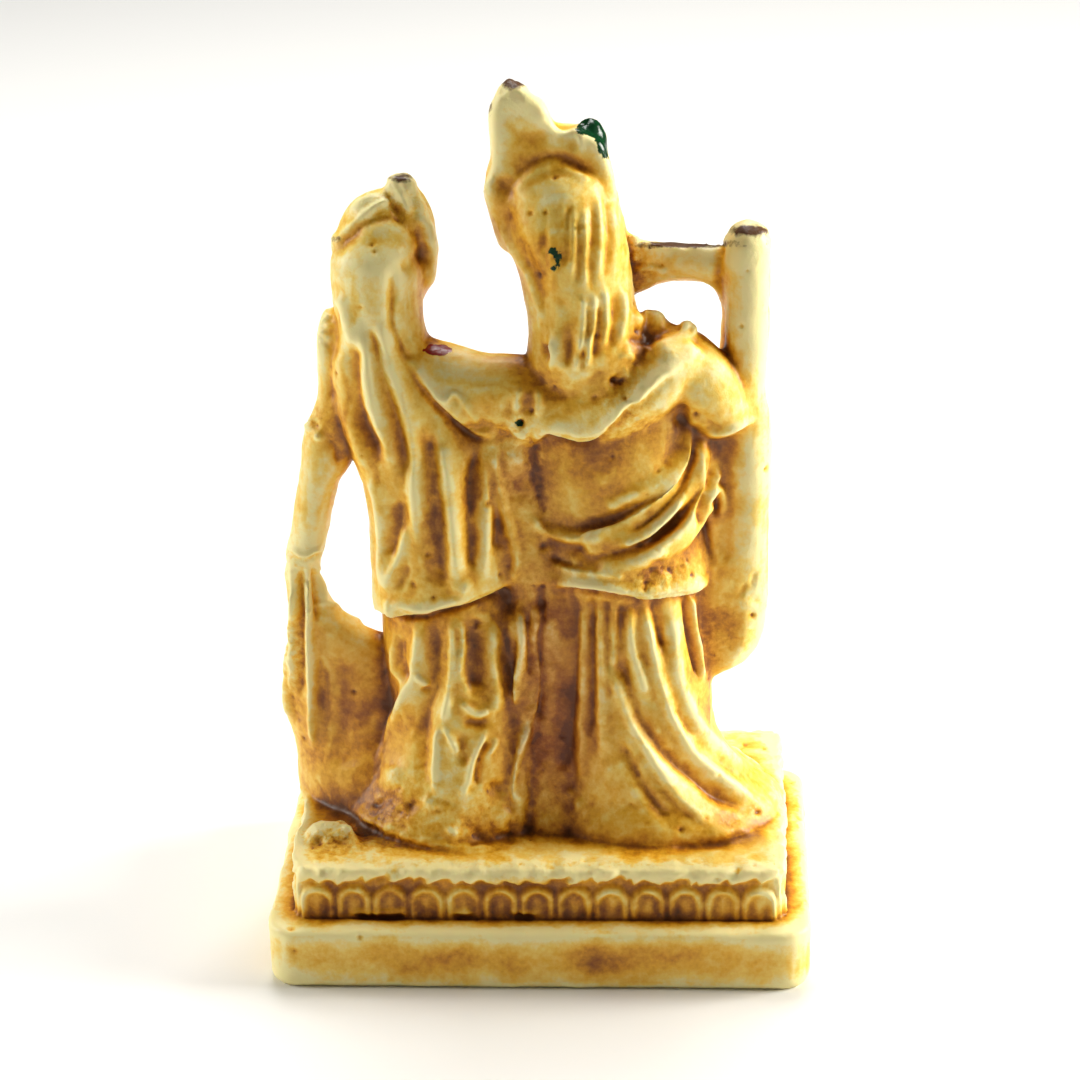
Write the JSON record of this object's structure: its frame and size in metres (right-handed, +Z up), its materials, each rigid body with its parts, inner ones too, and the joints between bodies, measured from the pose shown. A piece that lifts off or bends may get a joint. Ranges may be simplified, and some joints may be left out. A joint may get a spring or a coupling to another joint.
{
  "type": "figurine",
  "caption": "Cast tabletop idol of a flute player and his partner, arm in arm on a two-step plinth with a petal frieze, flute end held by an upright post.",
  "frame": {"origin": "middle of the plinth's underside", "axes": "+Z up, figures face -Y, the taller flute player stands towards -X"},
  "size_m": [0.076, 0.048, 0.124],
  "materials": {
    "cast_ivory": "satin"
  },
  "bodies": {
    "root": {"idol_casting": "cast_ivory"}
  },
  "joints": []
}
